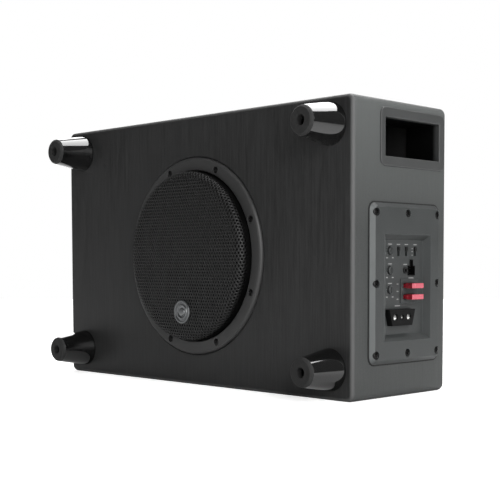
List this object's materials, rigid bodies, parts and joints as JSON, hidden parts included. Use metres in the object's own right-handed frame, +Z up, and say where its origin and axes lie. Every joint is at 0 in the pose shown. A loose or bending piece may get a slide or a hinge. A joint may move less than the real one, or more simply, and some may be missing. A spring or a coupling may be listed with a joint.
{
  "type": "powered car subwoofer",
  "caption": "Shallow vented bass box with a grilled driver and tapered feet on one face, and a slot port over a recessed amplifier panel on one end.",
  "frame": {"origin": "middle of the flat face the box stands on, on its long narrow side", "axes": "+Z up, +X along the box towards the amplifier and port end, -Y the way the driver and feet face"},
  "size_m": [0.4842, 0.193, 0.3],
  "materials": {
    "vinyl_board": "MDF covered in black grained vinyl",
    "raw_board": "bare MDF",
    "gloss_black": "glossy black moulding",
    "panel_plastic": "satin dark grey moulding",
    "port_plastic": "satin dark grey moulding",
    "ring_plastic": "satin black moulding",
    "black_plastic": "satin black moulding",
    "grille_steel": "black powder coat over perforated steel",
    "badge_metal": "satin metal disc",
    "black_screw": "black oxide",
    "bright_screw": "bright plated",
    "basket_steel": "black powder coat",
    "plated_steel": "zinc plated",
    "ferrite": "sintered ferrite",
    "rubber": "matt black rubber",
    "foam_rubber": "closed cell foam",
    "pulp": "black pressed pulp",
    "spider_cloth": "resin dipped cotton",
    "copper": "enamelled copper",
    "former_film": "polyimide film",
    "circuit_green": "solder resist on glass board",
    "aluminium": "extruded",
    "can_sleeve": "shrink sleeve",
    "fuse_red": "translucent red moulding",
    "blade_metal": "tinned zinc blades"
  },
  "bodies": {
    "cabinet": {"front_baffle": "vinyl_board", "rear_panel": "vinyl_board", "top_panel": "vinyl_board", "bottom_panel": "vinyl_board", "left_end_panel": "vinyl_board", "right_end_panel": "vinyl_board", "port_trim": "port_plastic", "port_floor_board": "raw_board", "port_side_board": "raw_board", "driver_basket": "basket_steel", "driver_gasket": "foam_rubber", "trim_ring": "ring_plastic", "driver_screws": "black_screw", "grille": "grille_steel", "grille_badge": "badge_metal", "driver_terminals": "plated_steel", "top_plate": "plated_steel", "ferrite_magnet": "ferrite", "magnet_yoke": "plated_steel", "foot_upper_left": "gloss_black", "foot_upper_right": "gloss_black", "foot_lower_left": "gloss_black", "foot_lower_right": "gloss_black", "foot_pads": "rubber", "foot_bolts": "black_screw", "foot_tee_nuts": "plated_steel", "amp_panel": "panel_plastic", "amp_gasket": "foam_rubber", "amp_panel_screws": "black_screw", "amp_back_cover": "plated_steel", "circuit_board": "circuit_green", "heat_sink": "aluminium", "power_transistors": "black_plastic", "filter_capacitors": "can_sleeve", "power_toroids": "copper", "potentiometers": "black_plastic", "switch_bodies": "black_plastic", "remote_jack": "black_plastic", "signal_socket": "black_plastic", "signal_pins": "blade_metal", "fuse_holder": "panel_plastic", "terminal_block": "black_plastic", "terminal_screws": "bright_screw"},
    "cone_assembly": {"cone": "pulp", "dust_cap": "pulp", "coil_former": "former_film", "voice_coil": "copper", "surround": "rubber", "spider": "spider_cloth"},
    "gain_control": {"gain_knob": "black_plastic"},
    "crossover_control": {"crossover_knob": "black_plastic"},
    "boost_control": {"boost_knob": "black_plastic"},
    "phase_switch": {"phase_switch_slider": "black_plastic"},
    "input_switch": {"input_switch_slider": "black_plastic"},
    "mode_switch": {"mode_switch_slider": "black_plastic"},
    "upper_fuse": {"fuse_upper": "fuse_red", "fuse_upper_blades": "blade_metal"},
    "lower_fuse": {"fuse_lower": "fuse_red", "fuse_lower_blades": "blade_metal"}
  },
  "joints": [
    {"name": "cone_travel", "type": "slide", "parent": "cabinet", "child": "cone_assembly", "axis": [0, -1, 0], "range_m": [-0.006, 0.006], "stiffness_N_per_m": 2500, "deforming": ["surround", "spider"]},
    {"name": "gain_turn", "type": "hinge", "parent": "cabinet", "child": "gain_control", "pos_m": [0.236, -0.0144, 0.149], "axis": [1, 0, 0], "range_deg": [-140, 140]},
    {"name": "crossover_turn", "type": "hinge", "parent": "cabinet", "child": "crossover_control", "pos_m": [0.236, -0.0144, 0.129], "axis": [1, 0, 0], "range_deg": [-140, 140]},
    {"name": "boost_turn", "type": "hinge", "parent": "cabinet", "child": "boost_control", "pos_m": [0.236, -0.0144, 0.1092], "axis": [1, 0, 0], "range_deg": [-140, 140]},
    {"name": "phase_slide", "type": "slide", "parent": "cabinet", "child": "phase_switch", "axis": [0, 0, -1], "range_m": [0, 0.0045]},
    {"name": "input_slide", "type": "slide", "parent": "cabinet", "child": "input_switch", "axis": [0, 0, -1], "range_m": [0, 0.0045]},
    {"name": "mode_slide", "type": "slide", "parent": "cabinet", "child": "mode_switch", "axis": [0, 0, -1], "range_m": [0, 0.0045]},
    {"name": "upper_fuse_pull", "type": "slide", "parent": "cabinet", "child": "upper_fuse", "axis": [1, 0, 0], "range_m": [0, 0.02]},
    {"name": "lower_fuse_pull", "type": "slide", "parent": "cabinet", "child": "lower_fuse", "axis": [1, 0, 0], "range_m": [0, 0.02]}
  ]
}
